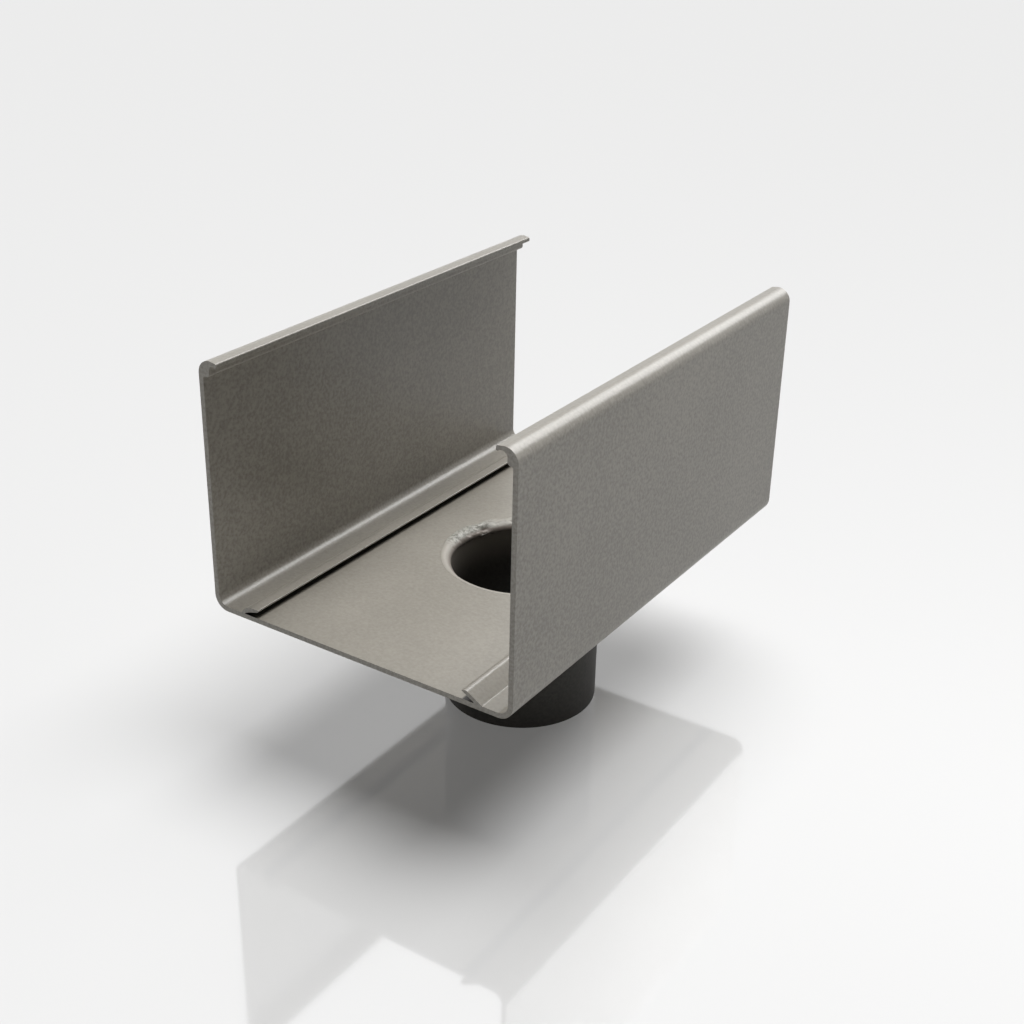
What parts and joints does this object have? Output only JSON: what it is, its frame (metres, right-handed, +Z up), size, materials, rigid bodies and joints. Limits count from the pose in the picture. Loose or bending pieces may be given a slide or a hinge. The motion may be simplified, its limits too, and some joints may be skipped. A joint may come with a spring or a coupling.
{
  "type": "box gutter outlet",
  "caption": "Short length of extruded box gutter, open at its ends and top, with hooked lips, ribs on its floor and a round spigot welded into the floor for a downpipe.",
  "frame": {"origin": "on the spigot's axis, at the spigot's lower end, which the part stands on", "axes": "+Z up out of the gutter's open top, +Y along the gutter, +X across it towards the wall with the leaning rib"},
  "size_m": [0.1352, 0.2, 0.1603],
  "materials": {
    "channel_coat": "fine textured warm grey powder coat on extruded aluminium",
    "spigot_coat": "dark brown-grey coat on aluminium tube",
    "weld_coat": "uneven weld bead under a thin warm grey coat"
  },
  "bodies": {
    "root": {"gutter_channel": "channel_coat", "outlet_spigot": "spigot_coat", "weld_bead": "weld_coat"}
  },
  "joints": []
}
